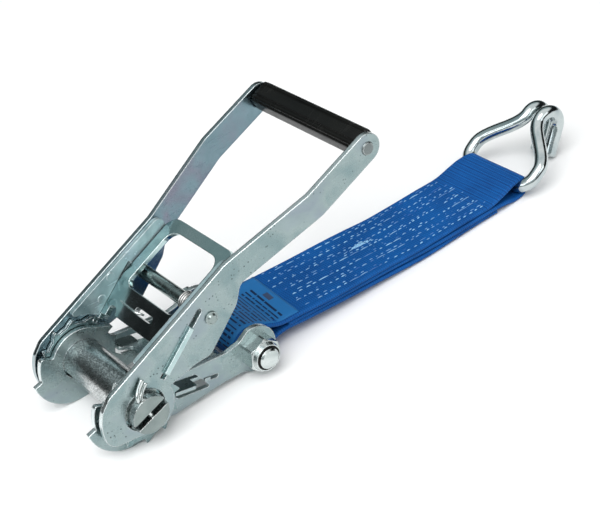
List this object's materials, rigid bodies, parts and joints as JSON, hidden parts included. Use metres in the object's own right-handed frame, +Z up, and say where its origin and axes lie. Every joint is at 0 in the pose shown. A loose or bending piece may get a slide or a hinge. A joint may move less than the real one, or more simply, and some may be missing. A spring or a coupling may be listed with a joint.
{
  "type": "ratchet tie down",
  "caption": "Ratchet tie down buckle with a slotted drum, long handle and release lever, a short sewn strap and a double claw hook.",
  "frame": {"origin": "middle of the whole object's box, on the ground it lies on", "axes": "+X from the ratchet's drum towards the hook, along the strap; +Y across the webbing, towards the end bolt's head; +Z up from the ground"},
  "size_m": [0.3676, 0.0984, 0.1147],
  "materials": {
    "zinc_plate": "blue-white zinc plating, satin",
    "dark_zinc": "blue-white zinc plating in shade, smooth",
    "zinc_bright": "bright zinc wire, glossy",
    "spring_steel": "plain spring wire",
    "grip_plastic": "black, extruded, glossy",
    "nylon": "matte",
    "webbing": "blue woven polyester with light stitching",
    "label": null
  },
  "bodies": {
    "frame": {"frame_plate_left": "zinc_plate", "frame_plate_right": "zinc_plate", "cross_plate": "dark_zinc", "end_bolt": "zinc_plate", "lock_nut": "zinc_plate", "nut_insert": "nylon", "bolt_sleeve": "zinc_plate", "lock_spring": "spring_steel"},
    "drum": {"half_shaft_upper": "zinc_plate", "half_shaft_lower": "zinc_plate", "ratchet_wheel_left": "zinc_plate", "ratchet_wheel_right": "zinc_plate", "split_pin_left": "zinc_plate", "split_pin_right": "zinc_plate"},
    "handle": {"handle_arm_left": "zinc_plate", "handle_arm_right": "zinc_plate", "doubler_left": "zinc_plate", "doubler_right": "zinc_plate", "cross_rod": "zinc_plate", "hand_grip": "grip_plastic", "grip_rod": "zinc_plate", "lever_spring": "spring_steel"},
    "drive_pawl": {"release_lever": "dark_zinc"},
    "lock_pawl": {"lock_pawl": "dark_zinc"},
    "strap_near": {"strap_near": "webbing", "strap_label": "label"},
    "strap_far": {"strap_far": "webbing"},
    "hook": {"claw_hook": "zinc_bright"}
  },
  "joints": [
    {"name": "drum_spin", "type": "hinge", "parent": "frame", "child": "drum", "pos_m": [-0.1532, 0, 0.023], "axis": [0, -1, 0], "continuous": true},
    {"name": "handle_swing", "type": "hinge", "parent": "frame", "child": "handle", "pos_m": [-0.1532, 0, 0.023], "axis": [0, -1, 0], "range_deg": [-24, 135]},
    {"name": "release_lever_slide", "type": "slide", "parent": "handle", "child": "drive_pawl", "axis": [0.7545, 0, 0.6563], "range_m": [-0.0027, 0.0075], "stiffness_N_per_m": 800, "deforming": ["lever_spring"]},
    {"name": "lock_pawl_slide", "type": "slide", "parent": "frame", "child": "lock_pawl", "axis": [0.9725, 0, -0.2331], "range_m": [0, 0.004], "stiffness_N_per_m": 500, "springref_m": -0.004, "deforming": ["lock_spring"]},
    {"name": "strap_swing", "type": "hinge", "parent": "frame", "child": "strap_near", "pos_m": [-0.07929, 0, 0.0135], "axis": [0, -1, 0], "range_deg": [-45, 30]},
    {"name": "strap_flex", "type": "hinge", "parent": "strap_near", "child": "strap_far", "pos_m": [0.0428, 0, 0.0049], "axis": [0, -1, 0], "range_deg": [-25, 25]},
    {"name": "hook_swing", "type": "hinge", "parent": "strap_far", "child": "hook", "pos_m": [0.1278, 0, 0.0071], "axis": [0, -1, 0], "range_deg": [-130, 60]}
  ]
}
